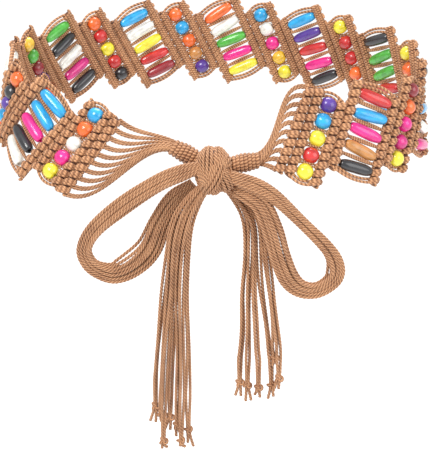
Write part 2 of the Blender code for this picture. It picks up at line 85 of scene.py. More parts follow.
# %% Camera
CAMERA_PLACE = (0.0005, -0.5984, 0.1616)
CAMERA_LENS = 81.4
VIEW_PITCH = 22.6


def look_camera():
    """The camera at the photo's viewing angle: 0.6 m in front, 22.6 degrees down."""
    lens = bpy.data.cameras.new("camera")
    lens.sensor_width = 36.0
    lens.lens = CAMERA_LENS
    camera = bpy.data.objects.new("camera", lens)
    camera.location = CAMERA_PLACE
    camera.rotation_euler = (math.radians(90.0 - VIEW_PITCH), 0.0, 0.0)
    bpy.context.scene.collection.objects.link(camera)
    bpy.context.scene.camera = camera


look_camera()
print(f"camera looks down {VIEW_PITCH} degrees")

# %% Lights


def soft_light(name, place, aim, size, power, warmth=0.0):
    """One square area light, turned towards a point."""
    light = bpy.data.lights.new(name, "AREA")
    light.size = size
    light.energy = power
    light.color = (1.0, 1.0 - 0.04 * warmth, 1.0 - 0.12 * warmth)
    lamp = bpy.data.objects.new(name, light)
    lamp.location = place
    way = np.array(place) - np.array(aim)
    pitch = math.atan2(math.hypot(way[0], way[1]), way[2])
    lamp.rotation_euler = (pitch, 0.0, math.atan2(way[0], -way[1]))
    bpy.context.scene.collection.objects.link(lamp)


LIGHT_AIM = (0, 0, -0.03)
soft_light("key", (-0.55, -0.75, 0.95), LIGHT_AIM, 0.55, 13.0, 0.3)
soft_light("fill", (0.85, -0.65, 0.35), LIGHT_AIM, 0.8, 5.0)
soft_light("rim", (0.1, 0.55, 0.85), (0, 0, 0), 0.5, 7.0)
print("three soft lights")

# %% Floor and sky
FLOOR_REACH = 9.0
FLOOR_LEVEL = -0.8


def pale_floor():
    """A wide pale floor well below the belt, and a pale sky that lights it evenly."""
    mesh = bpy.data.meshes.new("floor")
    signs = ((-1, -1), (1, -1), (1, 1), (-1, 1))
    corners = [(x * FLOOR_REACH, y * FLOOR_REACH, FLOOR_LEVEL) for x, y in signs]
    mesh.from_pydata(corners, [], [(0, 1, 2, 3)])
    floor = bpy.data.objects.new("floor", mesh)
    bpy.context.scene.collection.objects.link(floor)
    material = bpy.data.materials.new("floor_white")
    material.use_nodes = True
    shader = material.node_tree.nodes["Principled BSDF"]
    shader.inputs["Base Color"].default_value = (0.93, 0.93, 0.93, 1.0)
    shader.inputs["Roughness"].default_value = 0.9
    shader.inputs["Emission Color"].default_value = (1.0, 1.0, 1.0, 1.0)
    shader.inputs["Emission Strength"].default_value = 0.35
    mesh.materials.append(material)
    world = bpy.data.worlds.new("studio")
    world.use_nodes = True
    sky = world.node_tree.nodes["Background"]
    sky.inputs["Color"].default_value = (1.0, 1.0, 1.0, 1.0)
    sky.inputs["Strength"].default_value = 0.75
    bpy.context.scene.world = world
    bpy.context.scene.view_settings.view_transform = "Standard"


pale_floor()
print(f"floor at {FLOOR_LEVEL} m")

# %% [markdown]
# ## Node groups for twist and wood
# Cords share one group that turns UV coordinates into plies and fibres, with painted light on the
# ply ridges and painted shade in their grooves. The beads share one that makes long brush streaks
# under lacquer.

# %% Node helpers


def socket(group, name, kind, way, default=None):
    """One named socket on a node group."""
    item = group.interface.new_socket(name=name, socket_type=kind, in_out=way)
    if default is not None:
        item.default_value = default
    return item


def math_node(tree, operation, first, second=None):
    """A maths node with its inputs wired or set."""
    node = tree.nodes.new("ShaderNodeMath")
    node.operation = operation
    for index, value in enumerate((first, second)):
        if value is None:
            continue
        if isinstance(value, (int, float)):
            node.inputs[index].default_value = value
        else:
            tree.links.new(value, node.inputs[index])
    return node.outputs[0]


# %% Cord twist
YARNS = 9
YARN_PITCH = 0.0011


def twist_group():
    """Cord twist. Ply is the cosine of (plies times turn + length / pitch), and yarn a finer wave
    that winds the other way. Height adds both and fibre noise."""
    group = bpy.data.node_groups.new("cord_twist", "ShaderNodeTree")
    socket(group, "Plies", "NodeSocketFloat", "INPUT", 1.0)
    socket(group, "Pitch", "NodeSocketFloat", "INPUT", 0.0022)
    socket(group, "Fibre", "NodeSocketFloat", "INPUT", 0.3)
    socket(group, "Height", "NodeSocketFloat", "OUTPUT")
    socket(group, "Shade", "NodeSocketFloat", "OUTPUT")
    enter = group.nodes.new("NodeGroupInput")
    leave = group.nodes.new("NodeGroupOutput")
    where = group.nodes.new("ShaderNodeUVMap")
    parts = group.nodes.new("ShaderNodeSeparateXYZ")
    group.links.new(where.outputs["UV"], parts.inputs[0])
    turn = math_node(group, "MULTIPLY", parts.outputs["X"], enter.outputs["Plies"])
    run = math_node(group, "DIVIDE", parts.outputs["Y"], enter.outputs["Pitch"])
    ply = math_node(group, "MULTIPLY", math_node(group, "ADD", turn, run), 2.0 * math.pi)
    ply = math_node(group, "COSINE", ply)
    ply = math_node(group, "MULTIPLY", math_node(group, "ADD", ply, 1.0), 0.5)
    fine = math_node(group, "MULTIPLY", parts.outputs["X"], 2.0 * math.pi * YARNS)
    along = math_node(group, "MULTIPLY", parts.outputs["Y"], 2.0 * math.pi / YARN_PITCH)
    yarn = math_node(group, "SINE", math_node(group, "SUBTRACT", fine, along))
    yarn = math_node(group, "MULTIPLY", math_node(group, "ADD", yarn, 1.0), 0.5)
    place = group.nodes.new("ShaderNodeTexCoord")
    noise = group.nodes.new("ShaderNodeTexNoise")
    noise.inputs["Scale"].default_value = 1600.0
    noise.inputs["Detail"].default_value = 3.0
    group.links.new(place.outputs["Object"], noise.inputs["Vector"])
    broad = group.nodes.new("ShaderNodeTexNoise")
    broad.inputs["Scale"].default_value = 90.0
    broad.inputs["Detail"].default_value = 2.0
    group.links.new(place.outputs["Object"], broad.inputs["Vector"])
    fibre = math_node(group, "MULTIPLY", noise.outputs["Fac"], enter.outputs["Fibre"])
    height = math_node(group, "ADD", ply, math_node(group, "MULTIPLY", yarn, 0.18))
    group.links.new(math_node(group, "ADD", height, fibre), leave.inputs["Height"])
    # Shade: painted light on the ply and yarn ridges and painted shade in their grooves, with broad
    # and fibre noise as tone that differs at random
    shade = math_node(group, "MULTIPLY", ply, 0.55)
    shade = math_node(group, "ADD", shade, math_node(group, "MULTIPLY", broad.outputs["Fac"], 0.5))
    shade = math_node(group, "ADD", shade, math_node(group, "MULTIPLY", yarn, 0.10))
    shade = math_node(group, "ADD", shade, math_node(group, "MULTIPLY", fibre, 0.5))
    group.links.new(shade, leave.inputs["Shade"])
    return group


TWIST = twist_group()
print("cord twist group made")

# %% Painted wood


def streak_group():
    """Painted wood. Streaks are noise stretched along the bead, with small pores across it."""
    group = bpy.data.node_groups.new("wood_streak", "ShaderNodeTree")
    socket(group, "Height", "NodeSocketFloat", "OUTPUT")
    socket(group, "Shade", "NodeSocketFloat", "OUTPUT")
    leave = group.nodes.new("NodeGroupOutput")
    where = group.nodes.new("ShaderNodeUVMap")
    stretch = group.nodes.new("ShaderNodeMapping")
    stretch.inputs["Scale"].default_value = (9.0, 90.0, 1.0)
    group.links.new(where.outputs["UV"], stretch.inputs["Vector"])
    grain = group.nodes.new("ShaderNodeTexNoise")
    grain.inputs["Scale"].default_value = 1.0
    grain.inputs["Detail"].default_value = 4.0
    group.links.new(stretch.outputs["Vector"], grain.inputs["Vector"])
    place = group.nodes.new("ShaderNodeTexCoord")
    spots = group.nodes.new("ShaderNodeTexNoise")
    spots.inputs["Scale"].default_value = 260.0
    spots.inputs["Detail"].default_value = 3.0
    group.links.new(place.outputs["Object"], spots.inputs["Vector"])
    mixed = math_node(group, "MULTIPLY", grain.outputs["Fac"], 0.65)
    pores = math_node(group, "MULTIPLY", spots.outputs["Fac"], 0.35)
    mixed = math_node(group, "ADD", mixed, pores)
    group.links.new(mixed, leave.inputs["Shade"])
    group.links.new(grain.outputs["Fac"], leave.inputs["Height"])
    return group


STREAK = streak_group()
print("wood streak group made")

# %% [markdown]
# ## Materials
# Waxed tan cord in four kinds, one of them dark as painted shade for the cores, and a lacquered
# paint for each bead colour.

# %% Cord materials


def ramp_between(tree, factor, low, high, dark, light):
    """A colour ramp from a dark to a light colour between two values of the factor."""
    ramp = tree.nodes.new("ShaderNodeValToRGB")
    ramp.color_ramp.elements[0].position = low
    ramp.color_ramp.elements[1].position = high
    ramp.color_ramp.elements[0].color = (*dark, 1.0)
    ramp.color_ramp.elements[1].color = (*light, 1.0)
    tree.links.new(factor, ramp.inputs["Fac"])
    return ramp.outputs["Color"]


def cord_material(name, plies, pitch, dark, light, bump=0.0003, fibre=0.3):
    """Waxed cotton cord: painted light on the plies and painted shade in the grooves between them,
    matt, with a soft sheen.
    """
    material = bpy.data.materials.new(name)
    material.use_nodes = True
    tree = material.node_tree
    shader = tree.nodes["Principled BSDF"]
    twist = tree.nodes.new("ShaderNodeGroup")
    twist.node_tree = TWIST
    twist.inputs["Plies"].default_value = plies
    twist.inputs["Pitch"].default_value = pitch
    twist.inputs["Fibre"].default_value = fibre
    colour = ramp_between(tree, twist.outputs["Shade"], 0.25, 0.95, dark, light)
    tree.links.new(colour, shader.inputs["Base Color"])
    rough = math_node(tree, "MULTIPLY", twist.outputs["Shade"], -0.15)
    tree.links.new(math_node(tree, "ADD", rough, 0.82), shader.inputs["Roughness"])
    shader.inputs["Sheen Weight"].default_value = 0.15
    shader.inputs["Sheen Roughness"].default_value = 0.5
    raised = tree.nodes.new("ShaderNodeBump")
    raised.inputs["Strength"].default_value = 0.9
    raised.inputs["Distance"].default_value = bump
    tree.links.new(twist.outputs["Height"], raised.inputs["Height"])
    tree.links.new(raised.outputs["Normal"], shader.inputs["Normal"])
    return material


# Ramp colours: the dark end is painted shade in the ply grooves, the light end painted light on the
# ply ridges
CORD_BAND = cord_material("cord_band", 1, 0.0024, (0.130, 0.036, 0.010), (0.66, 0.335, 0.160))
CORD_FINE = cord_material("cord_fine", 1, 0.0015, (0.150, 0.042, 0.012), (0.64, 0.330, 0.160))
CORD_TIE = cord_material("cord_tie", 3, 10.0, (0.140, 0.038, 0.011), (0.65, 0.340, 0.168))
# The core cord is painted dark as the shade that falls between the wraps, coils and straps laid
# over it
CORD_SHADE_CORE = cord_material("cord_shade_core", 1, 0.0024, (0.050, 0.015, 0.006), (0.16, 0.055, 0.022))
print("four cord materials")

# %% Bead materials
PAINTS = {
    "blue": (0.010, 0.370, 0.760),
    "white": (0.860, 0.840, 0.780),
    "yellow": (0.930, 0.780, 0.040),
    "gold": (0.880, 0.530, 0.040),
    "orange": (0.850, 0.140, 0.015),
    "red": (0.600, 0.020, 0.020),
    "dark_red": (0.280, 0.010, 0.020),
    "magenta": (0.620, 0.008, 0.200),
    "pink": (0.830, 0.012, 0.260),
    "green": (0.070, 0.440, 0.045),
    "purple": (0.085, 0.030, 0.300),
    "black": (0.014, 0.014, 0.018),
    "tan": (0.560, 0.240, 0.060),
}


def bead_material(name, colour):
    """Painted wood under lacquer: darker streaks along the grain and a clear coat."""
    material = bpy.data.materials.new("bead_" + name)
    material.use_nodes = True
    tree = material.node_tree
    shader = tree.nodes["Principled BSDF"]
    streak = tree.nodes.new("ShaderNodeGroup")
    streak.node_tree = STREAK
    colour = np.array(colour)
    light = tuple(np.clip(colour * 1.12 + 0.012, 0.0, 0.95))
    tint = ramp_between(tree, streak.outputs["Shade"], 0.35, 0.62, tuple(colour * 0.62), light)
    tree.links.new(tint, shader.inputs["Base Color"])
    rough = math_node(tree, "MULTIPLY", streak.outputs["Shade"], 0.25)
    tree.links.new(math_node(tree, "ADD", rough, 0.16), shader.inputs["Roughness"])
    shader.inputs["Coat Weight"].default_value = 0.6
    shader.inputs["Coat Roughness"].default_value = 0.08
    raised = tree.nodes.new("ShaderNodeBump")
    raised.inputs["Strength"].default_value = 0.5
    raised.inputs["Distance"].default_value = 0.00012
    tree.links.new(streak.outputs["Height"], raised.inputs["Height"])
    tree.links.new(raised.outputs["Normal"], shader.inputs["Normal"])
    return material


BEAD_MATERIALS = [bead_material(name, colour) for name, colour in PAINTS.items()]
print(f"{len(BEAD_MATERIALS)} bead paints")

# %% [markdown]
# ## Placing points on the belt
# A point of the flat band has a place (length walked round the waist), a height up the band and
# a depth towards the wearer.

# %% Plan of the ring


def plan_table():
    """Walked length against places round the ring.

    The plan is x = a cos t, y = b sin t - g cos 2t, scaled so that the columns fill it.
    """
    angle = np.linspace(FIRST_ANGLE + 1.05, LAST_ANGLE - 1.05, 4000)
    across = np.cos(angle)
    along = DEPTH_TO_WIDTH * np.sin(angle) - EGG_TO_WIDTH * np.cos(2 * angle)
    walked = np.concatenate([[0.0], np.cumsum(np.hypot(np.diff(across), np.diff(along)))])
    first = np.interp(-FIRST_ANGLE, -angle, walked)
    last = np.interp(-LAST_ANGLE, -angle, walked)
    half_width = BEADED_LENGTH / (last - first)
    return (walked - first) * half_width, across * half_width, along * half_width


WALKED, PLAN_X, PLAN_Y = plan_table()
print(f"ring {PLAN_X.max() - PLAN_X.min():.3f} m wide")

# %% Lift and lean of the band
# Station along the beads (share), lift (share of BACK_LIFT), outward lean of the top (degrees)
STATIONS = np.array((
    (0.000, -1.10, -38.0),
    (0.125, 0.00, -10.0),
    (0.250, 0.70, 2.0),
    (0.375, 0.90, 4.0),
    (0.500, 1.00, 7.0),
    (0.625, 0.75, -2.0),
    (0.750, 0.15, 1.0),
    (0.875, -0.60, -7.0),
    (1.000, -0.65, -30.0),
))


def eased(place, column):
    """A column of STATIONS at a place, eased by 3p^2 - 2p^3 between the rows."""
    share = np.clip(place / BEADED_LENGTH, 0.0, 1.0)
    row = np.clip(np.searchsorted(STATIONS[:, 0], share, side="right") - 1, 0, len(STATIONS) - 2)
    part = (share - STATIONS[row, 0]) / (STATIONS[row + 1, 0] - STATIONS[row, 0])
    ease = part * part * (3 - 2 * part)
    return STATIONS[row, column] * (1 - ease) + STATIONS[row + 1, column] * ease


def on_band(place, height, inward):
    """Flat band coordinates turned into space.

    The point steps out from the ring by height sin(lean) - inward cos(lean), and up by
    lift + height cos(lean) + inward sin(lean).
    """
    place, height, inward = np.broadcast_arrays(place, height, inward)
    x = np.interp(place, WALKED, PLAN_X)
    y = np.interp(place, WALKED, PLAN_Y)
    run_x = np.interp(place + CORD, WALKED, PLAN_X) - np.interp(place - CORD, WALKED, PLAN_X)
    run_y = np.interp(place + CORD, WALKED, PLAN_Y) - np.interp(place - CORD, WALKED, PLAN_Y)
    run = np.hypot(run_x, run_y)
    lean = np.radians(eased(place, 2))
    out = height * np.sin(lean) - inward * np.cos(lean)
    up = eased(place, 1) * BACK_LIFT + height * np.cos(lean) + inward * np.sin(lean)
    return np.stack([x - out * run_y / run, y + out * run_x / run, up], axis=-1)


def by_column(column, across, along, inward=0.0):
    """Space point beside a column: across is square to its ribs, along runs up them."""
    place = column * COLUMN_SPACING + across * math.cos(LEAN) - along * math.sin(LEAN)
    height = across * math.sin(LEAN) + along * math.cos(LEAN)
    return on_band(place, height, inward)


def half_slot(column):
    """Half the space between a column's ribs: round and long beads by turns."""
    return np.where(np.asarray(column) % 2 == 0, ROUND_BEAD / 2, LONG_BEAD_LENGTH / 2)


# %% [markdown]
# ## Two builders of surfaces
# A tube is a ring of points swept along a path. A turned form is a closed profile swept about an
# axis. Each makes many copies at once and returns one patch of vertices, faces and UVs.

# %% Grids and tubes


def unit(vectors):
    """Vectors divided by their lengths."""
    return vectors / np.maximum(np.linalg.norm(vectors, axis=-1, keepdims=True), 1e-12)


def grid_faces(copies, rows, sides, closed_rows=False):
    """Corner indices and (row, side) steps of every quad on copies of a wrapped grid."""
    row = np.arange(rows if closed_rows else rows - 1)
    side = np.arange(sides)
    row, side = np.meshgrid(row, side, indexing="ij")
    corners = np.stack([
        row * sides + side,
        (row + 1) % rows * sides + side,
        (row + 1) % rows * sides + (side + 1) % sides,
        row * sides + (side + 1) % sides,
    ], axis=-1).reshape(-1, 4)
    start = np.arange(copies)[:, None, None] * rows * sides
    steps = np.stack([row, side], axis=-1).reshape(-1, 2)
    return (start + corners[None]).reshape(-1, 4), np.tile(steps, (copies, 1))


def tubes(paths, radius, sides=8, up=(0.0, 0.0, 1.0), squash=1.0, lobe=0.0, pitch=0.009, look=0):
    """Tubes along paths of shape (copies, points, 3).

    The ring's radius is radius * (1 + lobe cos 3a). With lobes the ring turns once in each
    pitch, so that three plies wind along the cord.
    """
    paths = np.asarray(paths, float)
    if paths.ndim == 2:
        paths = paths[None]
    copies, rows = paths.shape[:2]
    run = unit(np.gradient(paths, axis=1))
    side = unit(np.cross(run, np.broadcast_to(up, paths.shape)))
    other = np.cross(side, run)
    step = np.linalg.norm(np.diff(paths, axis=1), axis=-1)
    length = np.concatenate([np.zeros((copies, 1)), np.cumsum(step, axis=1)], axis=1)
    angle = 2 * np.pi * np.arange(sides) / sides
    reach = np.broadcast_to(radius, (copies, rows))[..., None] * (1 + lobe * np.cos(3 * angle))
    turn = np.broadcast_to(angle, reach.shape)
    if lobe:
        first_turn = 0.37 * np.arange(copies)[:, None, None]
        turn = turn + 2 * np.pi * (length[..., None] / pitch + first_turn)
    points = paths[:, :, None] + (reach * np.cos(turn))[..., None] * side[:, :, None]
    points = points + (squash * reach * np.sin(turn))[..., None] * other[:, :, None]
    quads, steps = grid_faces(copies, rows, sides)
    copy = np.repeat(np.arange(copies), len(quads) // copies)
    near, far = length[copy, steps[:, 0]], length[copy, steps[:, 0] + 1]
    left, right = steps[:, 1] / sides, (steps[:, 1] + 1) / sides
    uv = np.stack([left, near, left, far, right, far, right, near], axis=-1).reshape(-1, 4, 2)
    ring = np.arange(sides)
    first = np.arange(copies)[:, None] * rows * sides
    caps = np.concatenate([first + ring, first + (rows - 1) * sides + ring[::-1]])
    return {"points": points.reshape(-1, 3), "quads": quads, "uv": uv, "caps": caps, "look": look}


# %% Turned forms


def turned(profile, centres, axes, fronts, sides=18, look=0):
    """A closed profile of (radius, height) rows turned about each axis."""
    profile = np.asarray(profile, float)
    copies, rows = len(centres), len(profile)
    axes = unit(axes)
    side = unit(np.cross(axes, fronts))
    other = np.cross(side, axes)
    angle = 2 * np.pi * np.arange(sides) / sides
    reach = profile[None, :, None, :1]
    side, other, axes = side[:, None, None], other[:, None, None], axes[:, None, None]
    spin = np.cos(angle)[:, None] * side + np.sin(angle)[:, None] * other
    points = centres[:, None, None] + reach * spin + profile[None, :, None, 1:] * axes
    quads, steps = grid_faces(copies, rows, sides, closed_rows=True)
    low = profile[steps[:, 0], 1] + 0.02 * np.repeat(np.arange(copies), len(quads) // copies)
    high = low + profile[(steps[:, 0] + 1) % rows, 1] - profile[steps[:, 0], 1]
    left, right = steps[:, 1] / sides, (steps[:, 1] + 1) / sides
    uv = np.stack([left, low, left, high, right, high, right, low], axis=-1).reshape(-1, 4, 2)
    return {"points": points.reshape(-1, 3), "quads": quads, "uv": uv, "caps": None, "look": look}


# %% Finished pieces


def piece(name, patches, materials, replaced=()):
    """One finished object from patches. It rides on the root body and may replace CAD nodes."""
    points, loops, totals, uvs, looks, start = [], [], [], [], [], 0
    for patch in patches:
        points.append(patch["points"])
        loops.append((patch["quads"] + start).ravel())
        totals.append(np.full(len(patch["quads"]), 4))
        uvs.append(patch["uv"].reshape(-1, 2))
        looks.append(np.full(len(patch["quads"]), patch["look"]))
        if patch["caps"] is not None:
            caps = patch["caps"] + start
            loops.append(caps.ravel())
            totals.append(np.full(len(caps), caps.shape[1]))
            uvs.append(np.zeros((caps.size, 2)))
            looks.append(np.full(len(caps), patch["look"]))
        start += len(patch["points"])
    points, loops, totals = np.concatenate(points), np.concatenate(loops), np.concatenate(totals)
    mesh = bpy.data.meshes.new(name)
    mesh.vertices.add(len(points))
    mesh.vertices.foreach_set("co", points.astype(np.float32).ravel())
    mesh.loops.add(len(loops))
    mesh.loops.foreach_set("vertex_index", loops.astype(np.int32))
    mesh.polygons.add(len(totals))
    starts = np.concatenate([[0], np.cumsum(totals)[:-1]])
    mesh.polygons.foreach_set("loop_start", starts.astype(np.int32))
    mesh.polygons.foreach_set("loop_total", totals.astype(np.int32))
    for material in materials:
        mesh.materials.append(material)
    mesh.polygons.foreach_set("material_index", np.concatenate(looks).astype(np.int32))
    mesh.uv_layers.new(name="UVMap")
    mesh.uv_layers["UVMap"].data.foreach_set("uv", np.concatenate(uvs).astype(np.float32).ravel())
    mesh.update(calc_edges=True)
    mesh.shade_smooth()
    obj = bpy.data.objects.new(name, mesh)
    bpy.context.scene.collection.objects.link(obj)
    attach(obj, "root")
    if replaced:
        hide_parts(*replaced)
    return obj


# %% [markdown]
# ## Ribs
# Each rib is a core cord covered with half hitches. The inner face shows fine slanted wraps and
# the outer face shows plump oval knots, each of three turns of cord.

# %% Places of the ribs
RANDOM = np.random.RandomState(19)
LEFT_COLUMNS = 10


def rib_list():
    """(column, across) of the middle of every rib, with one more at each end of the band."""
    ribs = [(0, -half_slot(0) - 1.5 * RIB_WIDTH)]
    for column in range(COLUMNS):
        ribs.append((column, -half_slot(column) - 0.5 * RIB_WIDTH))
        ribs.append((column, half_slot(column) + 0.5 * RIB_WIDTH))
    ribs.append((COLUMNS - 1, half_slot(COLUMNS - 1) + 1.5 * RIB_WIDTH))
    return [(column, float(across)) for column, across in ribs]


def rib_up(column, across, along):
    """Direction up the ribs at some places, as the reference for tubes across them."""
    step = 0.001
    above = by_column(column, across, along + step)
    return unit(above - by_column(column, across, along - step))


def rib_in(column, across, along):
    """Direction from the outer to the inner face of the band, not yet of unit length."""
    step = 0.001
    inner = by_column(column, across, along, step)
    return inner - by_column(column, across, along, -step)


def rib_cores(ribs):
    """The core of each rib, painted dark as the shade between its wraps and knots: a flat tube that
    narrows to its ends.
    """
    points = 15
    column = np.array([c for c, _ in ribs])[:, None, None]
    middle = np.array([a for _, a in ribs])[:, None, None]
    reach = np.linspace(-RIB_HALF + 0.0016, RIB_HALF - 0.0016, points)[None, None, :]
    spine = by_column(column, middle, reach, 0.0).reshape(len(ribs), points, 3)
    inward = unit(rib_in(column, middle, reach)).reshape(len(ribs), points, 3)
    swell = RIB_WIDTH * 0.44 * (1 - 0.55 * np.abs(np.linspace(-1, 1, points)) ** 6)
    return tubes(spine, swell, 10, inward, squash=0.78)


# %% Wraps of the inner face


def rib_wraps(ribs):
    """Fine wraps over the inner face: half turns, place by place up each rib."""
    column = np.array([c for c, _ in ribs])[:, None, None]
    middle = np.array([a for _, a in ribs])[:, None, None]
    count, points = 33, 10
    place = (np.arange(count) + 0.5) / count * 2 - 1
    jitter = RANDOM.uniform(-0.12, 0.12, (len(ribs), count, 1))
    along = (RIB_HALF - 0.0014) * (place[None, :, None] + jitter * 2 / count)
    arc = np.radians(np.linspace(-25, 205, points))[None, None, :]
    radius = CORD * 0.52
    wide = RIB_WIDTH / 2 - radius * 0.9
    across = middle + wide * np.cos(arc) + 0 * along
    slant = 0.00085 * np.cos(arc)
    deep = (RIB_THICKNESS / 2 - radius * 0.6) * np.sin(arc) + 0 * along
    wraps = by_column(column, across, along + slant, deep)
    ups = rib_up(column, across, along + slant)
    shape = (len(ribs) * count, points, 3)
    return tubes(wraps.reshape(shape), radius, 6, ups.reshape(shape))


# %% Knots of the outer face


def rib_knots(ribs):
    """Plump oval knots over the outer face, each of three turns of cord side by side."""
    column = np.array([c for c, _ in ribs])[:, None, None]
    middle = np.array([a for _, a in ribs])[:, None, None]
    order = np.arange(len(ribs))[:, None, None]
    knots, strands, points = 10, 3, 9
    pitch = (2 * RIB_HALF - 0.0016) / (knots + 0.4)
    centre = (np.arange(knots) - (knots - 1) / 2)[None, :, None, None] * pitch
    centre = centre + (order[..., None] % 2 - 0.5) * pitch * 0.42
    centre = centre + RANDOM.uniform(-0.0003, 0.0003, (len(ribs), knots, 1, 1))
    strand = (np.arange(strands) - 1)[None, None, :, None]
    sweep = np.linspace(-1, 1, points)[None, None, None, :]
    wide = RIB_WIDTH * 0.57
    across = middle[..., None] + wide * sweep + 0 * centre + 0 * strand
    pinch = 0.40 + 0.60 * np.cos(sweep * np.pi / 2)
    along = centre + strand * 0.00138 * pinch - 0.0012 * sweep
    bulge = -0.0031 * np.cos(sweep * np.pi / 2) ** 0.6 * (1 - 0.18 * np.abs(strand)) - 0.0001
    ovals = by_column(column[..., None], across, along, bulge + 0 * along)
    ups = rib_up(column[..., None], across, along)
    shape = (len(ribs) * knots * strands, points, 3)
    thick = 0.00088 * (0.8 + 0.2 * np.cos(sweep * np.pi / 2)).ravel()
    return tubes(ovals.reshape(shape), thick, 7, ups.reshape(shape))


# %% Left and right ribs


def build_ribs():
    """Left and right halves of the ribs, in a core, an inner and an outer piece each."""
    ribs = rib_list()
    split = 1 + 2 * LEFT_COLUMNS
    for word, run in (("left", ribs[:split]), ("right", ribs[split:])):
        band = ("beaded_band_" + word,)
        piece("rib_cores_" + word, [rib_cores(run)], [CORD_SHADE_CORE], band)
        piece("rib_wraps_" + word, [rib_wraps(run)], [CORD_FINE])
        piece("rib_knots_" + word, [rib_knots(run)], [CORD_BAND])


build_ribs()
print(f"{len(rib_list())} ribs")

# %% [markdown]
# ## Beads
# Round beads are nearly spheres and long beads are slim barrels. Both have a hole with a rounded
# lip. Each bead sits a little differently on its cords.

# %% Beads
# Bead colours of each column, from the top bead down
COLUMN_COLOURS = (
    ("blue", "orange", "white", "pink", "yellow"),
    ("blue", "blue", "pink", "black", "white"),
    ("orange", "black", "purple", "blue", "orange"),
    ("white", "black", "yellow", "blue", "red"),
    ("gold", "green", "dark_red", "purple", "orange"),
    ("green", "black", "white", "magenta", "black"),
    ("orange", "red", "yellow", "red", "black"),
    ("blue", "white", "yellow", "red", "dark_red"),
    ("orange", "blue", "orange", "tan", "purple"),
    ("orange", "white", "green", "pink", "yellow"),
    ("blue", "white", "pink", "gold", "yellow"),
    ("blue", "purple", "red", "pink", "black"),
    ("yellow", "red", "red", "orange", "magenta"),
    ("black", "green", "green", "red", "blue"),
    ("yellow", "orange", "white", "green", "pink"),
    ("black", "white", "blue", "white", "pink"),
    ("dark_red", "orange", "pink", "magenta", "yellow"),
    ("red", "blue", "pink", "tan", "black"),
    ("purple", "blue", "yellow", "red", "yellow"),
)
BEADS_IN_COLUMN = 5


def bead_profile(length, thick, hole, power):
    """Closed (radius, height) rows: a superellipse outside and a straight hole inside."""
    share = np.cos(np.linspace(0.10, np.pi - 0.10, 13))
    radius = hole + (thick / 2 - hole) * (1 - np.abs(share) ** power) ** (1 / 2)
    outer = np.stack([radius, share * length / 2], axis=-1)
    inner = np.array([(hole * 0.8, -length * 0.47), (hole * 0.8, length * 0.47)])
    return np.concatenate([outer, inner])


def build_beads():
    """All the beads, one piece of round and one of long ones, with a paint for each colour."""
    names = list(PAINTS)
    column, row = np.meshgrid(np.arange(COLUMNS), np.arange(BEADS_IN_COLUMN), indexing="ij")
    column, row = column.ravel(), row.ravel()
    colour = np.array([names.index(name) for rows in COLUMN_COLOURS for name in rows])
    along = (2 - row) * BEAD_PITCH + RANDOM.uniform(-0.0003, 0.0003, len(row))
    shift = RANDOM.uniform(-0.0002, 0.0002, len(row))
    depth = RANDOM.uniform(-0.0003, 0.0003, len(row))
    tilt = RANDOM.uniform(-0.0005, 0.0005, len(row))
    centre = by_column(column, shift, along, depth)
    axis = by_column(column, shift + 0.004, along + tilt, depth) - centre
    front = by_column(column, shift, along, depth - 0.002) - centre
    for word, parity, profile in (
        ("round", 0, bead_profile(ROUND_BEAD * 0.98, ROUND_BEAD, 0.0011, 2.0)),
        ("long", 1, bead_profile(LONG_BEAD_LENGTH, LONG_BEAD, 0.0013, 3.4)),
    ):
        patches = []
        for look in range(len(names)):
            pick = (column % 2 == parity) & (colour == look)
            if pick.any():
                patches.append(turned(profile, centre[pick], axis[pick], front[pick], 20, look))
        piece(word + "_beads", patches, BEAD_MATERIALS)


build_beads()
print(f"{COLUMNS * BEADS_IN_COLUMN} beads")

# %% [markdown]
# ## Cords between the beads
# Pairs of cords cross each column between its beads, and pairs arch round its first and last.

# %% Cords between the beads


def crossing_cords():
    """Pairs of cords between neighbouring beads, from rib to rib."""
    patches = []
    for parity, radius in ((0, CORD * 0.38), (1, CORD * 0.47)):
        column = np.arange(parity, COLUMNS, 2)[:, None, None, None]
        gap = (np.arange(4) - 1.5)[None, :, None, None] * BEAD_PITCH
        pair = np.array((-1.0, 1.0))[None, None, :, None]
        points = 13
        sweep = np.linspace(-1, 1, points)[None, None, None, :]
        across = (half_slot(column) + 0.0012) * sweep + 0 * gap + 0 * pair
        open_out = np.cos(sweep * np.pi / 2) if parity else np.sin(sweep * np.pi / 2)
        along = gap + pair * (radius * (0.95 if parity else 1.6)) * open_out
        sag = pair * radius * (0.35 if parity else 0.9) * np.cos(sweep * np.pi) + 0 * along
        path = by_column(column, across, along, sag)
        shape = (-1, points, 3)
        ups = rib_up(column, across, along).reshape(shape)
        patches.append(tubes(path.reshape(shape), radius, 7, ups))
    return patches


def edge_cords():
    """Pairs of cords that arch past the first and the last bead of each column."""
    column = np.arange(COLUMNS)[:, None, None, None]
    end = np.array((-1.0, 1.0))[None, :, None, None]
    pair = np.array((0.0, 1.0))[None, None, :, None]
    points = 21
    sweep = np.linspace(-1, 1, points)[None, None, None, :]
    across = (half_slot(column) + RIB_WIDTH * (0.35 + 0.35 * pair)) * sweep + 0 * end
    arch = np.cos(sweep * np.pi / 2) ** 0.8
    along = end * (RIB_HALF - 0.0046 + pair * 0.0013 + (0.0026 + 0.0006 * pair) * arch)
    path = by_column(column, across, along, 0.0004 * (1 - 2 * pair) + 0 * along)
    shape = (-1, points, 3)
    ups = rib_up(column, across, along).reshape(shape)
    inward = unit(rib_in(column, across, along)).reshape(shape)
    return [tubes(path.reshape(shape), CORD * 0.54, 8, inward + 0.01 * ups)]


piece("bead_spacer_cords", crossing_cords(), [CORD_FINE])
piece("band_edge_cords", edge_cords(), [CORD_BAND])
print(f"{4 * COLUMNS} pairs of cords between the beads")

